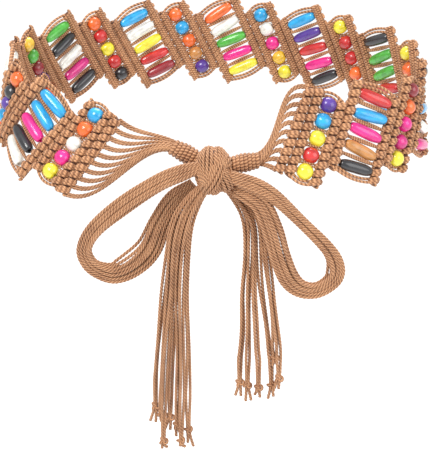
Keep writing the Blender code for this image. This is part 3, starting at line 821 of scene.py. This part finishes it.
# %% [markdown]
# ## Fans and wrapped necks
# Ten pairs of cords leave the last rib side by side and gather. A cord is wound round them like
# a coil.

# %% Fans
FAN_PAIRS = 10


def cubic(start, start_pull, end_pull, end, count):
    """A cubic curve: a (1-t)^3 + 3 b t (1-t)^2 + 3 c t^2 (1-t) + d t^3."""
    t = np.linspace(0, 1, count)[:, None]
    points = start * (1 - t) ** 3 + start_pull * 3 * t * (1 - t) ** 2
    return points + end_pull * 3 * t * t * (1 - t) + end * t ** 3


def neck_ends(side):
    """Outer and inner end of a neck, between the fan and the bow knot."""
    length, rise = (0.0155, 0.0115) if side < 0 else (0.0150, 0.0035)
    inner = KNOT + np.array((side * 0.0086, 0.0016, rise * 0.35))
    sink = math.sqrt(length ** 2 - rise ** 2 * 0.36)
    return inner + np.array((side * sink, 0.0016, rise * 0.6)), inner


def build_fan(side, word):
    """Pairs of cords from the end rib to the neck, each pair a little bowed."""
    column = 0 if side < 0 else COLUMNS - 1
    outer, inner = neck_ends(side)
    run = unit(inner - outer)
    edge = side * (half_slot(column) + 1.72 * RIB_WIDTH)
    paths = []
    for index in range(FAN_PAIRS):
        share = 1 - 2 * index / (FAN_PAIRS - 1)
        for twin in (-1, 1):
            along = share * (RIB_HALF - 0.002) + twin * 0.0007
            start = by_column(column, edge, along)
            ahead = by_column(column, edge + side * 0.005, along - share * 0.0006)
            spin = 2 * np.pi * (index + 0.25 * twin) / FAN_PAIRS
            lie = np.array((0.0, math.cos(spin), 0.0)) * 0.0022 + np.array((0, 0, share * 0.0030))
            end = outer + lie + run * 0.002
            reach = np.linalg.norm(end - start)
            pull = start + unit(ahead - start) * reach * 0.42
            paths.append(cubic(start, pull, end - run * reach * 0.33, end, 80))
    cords = tubes(paths, STRAND * 0.43, 9, (0, -1, 0), lobe=PLY_DEPTH, pitch=TWIST_LENGTH)
    piece("fan_cords_" + word, [cords], [CORD_TIE], ("fan_" + word,))


# %% Wrapped necks
NECK_TURNS = 7


def build_neck(side, word):
    """A coil of cord wound round the gathered cords, over a core painted dark as the shade inside
    the coil.
    """
    outer, inner = neck_ends(side)
    axis = unit(inner - outer)
    across = unit(np.cross(axis, (0, -1, 0)))
    up = np.cross(across, axis)
    length = np.linalg.norm(inner - outer)
    t = np.linspace(0, 1, NECK_TURNS * 20 + 1)[:, None]
    spin = 2 * np.pi * NECK_TURNS * t
    swell = 0.0039 * (1 - 0.10 * np.cos(2 * np.pi * t))
    coil = outer + axis * length * t + swell * (across * np.cos(spin) + up * np.sin(spin))
    wrap = tubes(coil, length / NECK_TURNS * 0.53, 8, axis)
    line = outer + axis * length * np.linspace(0.02, 0.98, 6)[:, None]
    core = tubes(line, 0.0037, 12, (0, -1, 0), look=1)
    materials = [CORD_FINE, CORD_SHADE_CORE]
    piece("neck_coil_" + word, [wrap, core], materials, ("neck_wrap_" + word,))


for side, word in ((-1, "left"), (1, "right")):
    build_fan(side, word)
    build_neck(side, word)
print(f"{FAN_PAIRS} pairs of cords in each fan")

# %% [markdown]
# ## The bow
# Every loop is a bundle of strands that keep their places side by side and wander a little. The
# knot is drawn from strands that cross over its front.

# %% Curves of the bow


def smooth_rows(rows, count):
    """Rows of a table, joined by a smooth Catmull-Rom curve through each."""
    rows = np.asarray(rows, float)
    padded = np.concatenate([[2 * rows[0] - rows[1]], rows, [2 * rows[-1] - rows[-2]]])
    where = np.linspace(0, len(rows) - 1, count)
    index = np.minimum(where.astype(int), len(rows) - 2)
    t = (where - index)[:, None]
    a, b, c, d = padded[index], padded[index + 1], padded[index + 2], padded[index + 3]
    return 0.5 * (2 * b + (c - a) * t + (2 * a - 5 * b + 4 * c - d) * t ** 2
                  + (3 * b - a - 3 * c + d) * t ** 3)


def evenly(path, count):
    """A path resampled at equal steps of its walked length."""
    walked = np.concatenate([[0.0], np.cumsum(np.linalg.norm(np.diff(path, axis=0), axis=1))])
    places = np.linspace(0, walked[-1], count)
    return np.stack([np.interp(places, walked, path[:, axis]) for axis in range(3)], axis=-1)


def wander(count, points, size, waves=3):
    """Slow random drift for each strand: a sum of sines with random phases."""
    t = np.linspace(0, 1, points)[None, :]
    total = np.zeros((count, points))
    for wave in range(1, waves + 1):
        phase = RANDOM.uniform(0, 2 * np.pi, (count, 1))
        total += RANDOM.uniform(0.4, 1.0, (count, 1)) * np.sin(2 * np.pi * wave * t + phase) / wave
    return size * total / waves


# %% Bow loops
LOOP_REACH = 0.070
LOOP_WIDTH = 0.0100
LOOP_POINTS = 380
FRONT_STEP = 0.0045

# Out from the knot and down (shares of LOOP_REACH), forward (share of FRONT_STEP), width
# (share of LOOP_WIDTH)
LEFT_LOOP = np.array((
    (0.107, -0.040, 1.5, 0.65),
    (0.250, 0.000, 1.7, 0.95),
    (0.440, 0.080, 1.9, 1.00),
    (0.700, 0.250, 2.0, 1.00),
    (0.920, 0.450, 2.0, 0.92),
    (1.015, 0.620, 1.9, 0.82),
    (0.990, 0.750, 1.6, 0.85),
    (0.910, 0.830, 1.3, 0.95),
    (0.790, 0.870, 1.0, 1.10),
    (0.640, 0.810, 0.7, 1.25),
    (0.510, 0.680, 0.4, 1.30),
    (0.420, 0.460, 0.1, 1.15),
    (0.310, 0.260, 0.1, 1.00),
    (0.160, 0.135, 0.1, 0.65),
))
RIGHT_LOOP = np.array((
    (0.114, 0.030, 1.5, 0.65),
    (0.300, 0.100, 1.6, 0.95),
    (0.460, 0.190, 1.8, 0.88),
    (0.650, 0.370, 1.8, 0.78),
    (0.870, 0.600, 1.9, 0.85),
    (0.955, 0.750, 1.9, 0.92),
    (0.950, 0.880, 1.9, 0.90),
    (0.830, 0.980, 1.9, 0.85),
    (0.700, 0.975, 1.9, 0.92),
    (0.600, 0.880, 1.9, 1.05),
    (0.520, 0.690, 1.9, 1.10),
    (0.450, 0.460, 1.8, 1.10),
    (0.350, 0.260, 1.4, 0.95),
    (0.160, 0.150, 0.7, 0.65),
))

# Strands that stray from their loop: count from the outside, place along the loop (share), how
# far out (m), how long a stretch (share)
LEFT_STRAYS = ((1, 0.66, 0.0012, 0.10), (0, 0.67, 0.0032, 0.12), (0, 0.24, 0.0010, 0.06))
RIGHT_STRAYS = ((0, 0.43, 0.0012, 0.05), (14, 0.70, -0.0008, 0.08))


def build_loop(side, word, rows, strays, strands=15):
    """A loop: strands in three layers that follow its middle line, a few of them astray."""
    table = smooth_rows(rows, LOOP_POINTS)
    line = KNOT + np.stack([side * table[:, 0] * LOOP_REACH, -table[:, 2] * FRONT_STEP,
                            -table[:, 1] * LOOP_REACH], axis=-1)
    facing = np.array((0.0, -1.0, 0.0))
    run = unit(np.gradient(line, axis=0))
    across = side * unit(np.cross(run, facing))
    outward = unit(np.cross(side * across, run))
    layer = np.arange(strands) % 3 - 1
    seat = 1 - np.arange(strands) * 2 / (strands - 1)
    half = (table[:, 3] * LOOP_WIDTH / 2 - STRAND * 0.45)[None, :]
    sideways = seat[:, None] * half + wander(strands, LOOP_POINTS, 0.0018)
    deep = layer[:, None] * 0.0011 + wander(strands, LOOP_POINTS, 0.0010)
    t = np.linspace(0, 1, LOOP_POINTS)
    for strand, place, reach, stretch in strays:
        sideways[strand] += reach * np.exp(-((t - place) / stretch) ** 2)
    paths = line[None] + sideways[..., None] * across[None] + deep[..., None] * outward[None]
    paths = np.stack([evenly(path, LOOP_POINTS) for path in paths])
    cords = tubes(paths, STRAND / 2, 12, (0, -1, 0), lobe=PLY_DEPTH, pitch=TWIST_LENGTH)
    piece("bow_strands_" + word, [cords], [CORD_TIE], ("bow_loop_" + word,))
    return np.linalg.norm(np.diff(line, axis=0), axis=1).sum()


for side, word, rows, strays in (
    (-1, "left", LEFT_LOOP, LEFT_STRAYS),
    (1, "right", RIGHT_LOOP, RIGHT_STRAYS),
):
    print(f"{word} loop {build_loop(side, word, rows, strays):.3f} m along its middle")

# %% Straps of the knot
# Each strap on the knot: its strands, then rows of across and up (degrees round the knot from
# the side that faces the front and a little up, so 90 is the rim), half spread and lift (mm)
KNOT_STRAPS = (
    (5, ((-48, 105, 4.0, -1.2), (-60, 45, 4.2, -0.4), (-64, 0, 4.2, -0.2), (-56, -45, 4.0, -0.4),
         (-42, -105, 3.5, -1.0))),
    (5, ((45, 100, 4.0, -1.2), (58, 40, 4.2, -0.4), (62, -5, 4.2, -0.4), (52, -55, 4.0, -0.6),
         (38, -105, 3.5, -1.0))),
    (6, ((22, -2, 0.8, -1.2), (12, -34, 3.4, 0.0), (8, -64, 5.4, 0.2), (4, -95, 5.4, -0.4),
         (0, -120, 4.0, -1.2))),
    (4, ((84, 62, 4.0, -0.6), (62, 46, 4.2, 0.5), (36, 22, 3.0, 0.9), (20, 2, 1.4, -1.2))),
    (6, ((32, 118, 4.5, -1.0), (27, 78, 5.0, 0.6), (23, 38, 4.2, 1.2), (18, 14, 2.2, 0.9),
         (14, -4, 1.2, -1.4))),
    (8, ((-18, 120, 4.5, -1.0), (-22, 76, 7.0, 0.8), (-21, 36, 7.0, 1.8), (-19, 6, 6.0, 2.2),
         (-18, -17, 3.7, 2.0), (-19, -36, 2.0, 1.2), (-22, -52, 1.4, -1.0), (-24, -68, 1.0, -2.4))),
    (4, ((22, 16, 1.6, -1.0), (25, -4, 2.4, 1.0), (42, -25, 3.0, 1.9), (58, -48, 3.4, 2.4),
         (72, -74, 3.4, 0.6), (84, -98, 3.0, -1.2))),
    (4, ((30, 28, 2.0, -1.0), (18, 10, 2.6, 1.4), (-3, -28, 3.0, 2.2), (-26, -60, 2.8, 1.4),
         (-38, -92, 2.2, -0.6), (-44, -112, 1.8, -1.6))),
)
KNOT_MIDDLE = KNOT + np.array((-0.0008, -0.0006, -0.0014))
KNOT_SIZE = np.array((0.0106, 0.0128, 0.0100))
KNOT_TILT = math.radians(VIEW_PITCH)
STRAP_POINTS = 60


def knot_point(across, up, lift):
    """A point on the knot. The two angles make a turn of their joint size away from the front."""
    turn = np.maximum(np.hypot(across, up), 1e-6)
    aside = across / turn * np.sin(turn) * (KNOT_SIZE[0] + lift)
    high = up / turn * np.sin(turn) * (KNOT_SIZE[1] + lift)
    near = np.cos(turn) * (KNOT_SIZE[2] + lift)
    depth = -near * math.cos(KNOT_TILT) + high * math.sin(KNOT_TILT)
    height = near * math.sin(KNOT_TILT) + high * math.cos(KNOT_TILT)
    return KNOT_MIDDLE + np.stack([aside, depth, height], axis=-1)


def knot_strap(strands, rows):
    """Strands side by side on the knot, spread square to the strap's own direction."""
    table = smooth_rows(rows, STRAP_POINTS)
    across, up = np.radians(table[:, 0]), np.radians(table[:, 1])
    aside, rise = np.gradient(across) * KNOT_SIZE[0], np.gradient(up) * KNOT_SIZE[1]
    run = unit(np.stack([aside, rise], axis=-1))
    seat = (np.arange(strands) * 2 / (strands - 1) - 1)[:, None] * table[None, :, 2] / 1000
    seat = seat + wander(strands, STRAP_POINTS, 0.0003)
    lift = table[None, :, 3] / 1000 - 0.25 * np.abs(seat) + wander(strands, STRAP_POINTS, 0.0002)
    across = across - run[:, 1] * seat / KNOT_SIZE[0]
    up = up + run[:, 0] * seat / KNOT_SIZE[1]
    path = np.stack([evenly(line, STRAP_POINTS) for line in knot_point(across, up, lift)])
    return tubes(path, STRAND / 2, 9, (0.3, -1, 0.4), lobe=PLY_DEPTH, pitch=TWIST_LENGTH)


# %% The knot


def build_knot():
    """The bow knot: a core painted dark as the shade under straps of strands that cross each other.
    """
    t = np.linspace(-0.97, 0.97, 12)[:, None]
    line = KNOT_MIDDLE + np.array((0.0, 0.0, 1.0)) * t * KNOT_SIZE[1]
    radius = KNOT_SIZE[0] * 0.95 * np.sqrt(1 - (t[:, 0] * 0.98) ** 2)
    core = tubes(line, radius, 14, (0, -1, 0), look=1)
    straps = [knot_strap(strands, rows) for strands, rows in KNOT_STRAPS]
    piece("bow_knot_strands", [core] + straps, [CORD_TIE, CORD_SHADE_CORE], ("bow_knot",))


build_knot()
print(f"{len(KNOT_STRAPS)} straps over the knot")

# %% [markdown]
# ## Tails
# The cord ends hang in pairs. Each pair is tied in one overhand knot with two short stubs.

# %% End knots


def overhand_knot(centre, size, tip):
    """A trefoil: x = sin t + 2 sin 2t, y = -1.3 sin 3t, z = cos t - 2 cos 2t, a third of it
    scaled to size and turned by tip."""
    t = np.linspace(0, 2 * np.pi, 46)
    curve = np.stack([np.sin(t) + 2 * np.sin(2 * t), -1.3 * np.sin(3 * t),
                      np.cos(t) - 2 * np.cos(2 * t)], axis=-1) / 3
    cos, sin = math.cos(tip), math.sin(tip)
    turn = np.array(((cos, 0, -sin), (0, 1, 0), (sin, 0, cos)))
    return tubes(centre + size * curve @ turn.T, STRAND * 0.42, 8, (0.1, -1, 0.2))


# %% Rows of the tails
TAIL_WIDTH = 0.016
TAIL_ROWS = 140
TAIL_POINTS = 300
KNOT_ROOM = 0.006

# Out from the knot (share of TAIL_WIDTH), down from the knot (m), forward (share of
# FRONT_STEP), spread (share of TAIL_WIDTH)
LEFT_TAIL = np.array((
    (0.20, 0.006, 1.2, 0.32),
    (0.72, 0.016, 1.8, 0.55),
    (1.08, 0.028, 2.2, 0.72),
    (1.27, 0.045, 2.3, 0.84),
    (1.39, 0.076, 2.1, 0.94),
    (1.41, 0.115, 1.7, 1.02),
    (1.37, 0.150, 1.4, 1.10),
))
RIGHT_TAIL = np.array((
    (0.20, 0.006, -0.5, 0.30),
    (0.82, 0.018, -0.8, 0.50),
    (1.34, 0.032, -0.7, 0.72),
    (1.48, 0.052, 0.0, 0.94),
    (1.46, 0.080, 0.7, 1.10),
    (1.53, 0.104, 1.0, 1.06),
    (1.60, 0.122, 1.0, 1.06),
))

# Each pair of tail cords, from the left: where its end knot hangs across the front, how deep
# under the bow's knot, and the length of the stubs under it (m)
LEFT_ENDS = (
    (-0.0350, 0.147, 0.009),
    (-0.0316, 0.151, 0.006),
    (-0.0306, 0.170, 0.006),
    (-0.0266, 0.155, 0.007),
    (-0.0224, 0.160, 0.006),
    (-0.0200, 0.170, 0.005),
    (-0.0156, 0.164, 0.010),
)
RIGHT_ENDS = (
    (0.0147, 0.1325, 0.008),
    (0.0193, 0.1330, 0.010),
    (0.0256, 0.1345, 0.005),
    (0.0334, 0.1345, 0.009),
    (0.0350, 0.1155, 0.006),
    (0.0374, 0.1280, 0.007),
)


def pair_line(side, rows, share, layer, end):
    """Middle line of one pair of tail cords, from the knot to its end knot."""
    across, depth = end[:2]
    table = smooth_rows(rows, TAIL_ROWS)
    table = table[table[:, 1] < depth - KNOT_ROOM]
    drop = table[:, 1] / depth
    ease = np.clip((drop - 0.35) / 0.65, 0, 1)
    ease = ease * ease * (3 - 2 * ease)
    hang = side * table[:, 0] * TAIL_WIDTH + share * table[:, 3] * TAIL_WIDTH / 2
    hang = hang * (1 - ease) + across * ease + wander(1, len(table), 0.0026)[0] * drop * (1 - ease)
    front = table[:, 2] * FRONT_STEP + layer * 0.0013 * np.clip(drop * 6, 0, 1)
    middle = KNOT + np.stack([hang, -front, -table[:, 1]], axis=-1)
    knot_at = KNOT + np.array((across, -front[-1], -depth))
    return middle, knot_at


# %% Tails


def build_tail(side, word, rows, ends):
    """Cord pairs that hang from the knot, each cord a piece of its own."""
    pairs = len(ends)
    for pair, end in enumerate(ends):
        share = (pair + 0.5) / pairs * 2 - 1
        middle, knot_at = pair_line(side, rows, share, pair % 3 - 1, end)
        below = knot_at + np.array((RANDOM.uniform(-0.002, 0.002), 0, -end[2]))
        for twin in (-1, 1):
            drift = np.stack([0.0008 * twin + wander(1, len(middle), 0.0017)[0],
                              0.0007 * twin + wander(1, len(middle), 0.0010)[0],
                              np.zeros(len(middle))], axis=-1)
            tip = below + np.array((0.0016 * twin, 0, RANDOM.uniform(-0.002, 0.002)))
            near = knot_at + np.array((0.0006 * twin, 0, 0))
            path = np.concatenate([(middle + drift)[::7], [near, tip]])
            path = evenly(smooth_rows(path, TAIL_POINTS), TAIL_POINTS)
            cord = tubes(path, STRAND / 2, 9, (0, -1, 0), lobe=PLY_DEPTH, pitch=TWIST_LENGTH)
            name = f"tail_cord_{word}_{2 * pair + (twin + 1) // 2 + 1}"
            piece(name, [cord], [CORD_TIE])
        tie = overhand_knot(knot_at, 0.0024, RANDOM.uniform(0, 6.2))
        knot = piece(f"tail_knot_{word}_{pair + 1}", [tie], [CORD_TIE])
        if pair == 0:
            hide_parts("tail_" + word)


build_tail(-1, "left", LEFT_TAIL, LEFT_ENDS)
build_tail(1, "right", RIGHT_TAIL, RIGHT_ENDS)
print(f"{len(LEFT_ENDS) + len(RIGHT_ENDS)} pairs of tail cords")
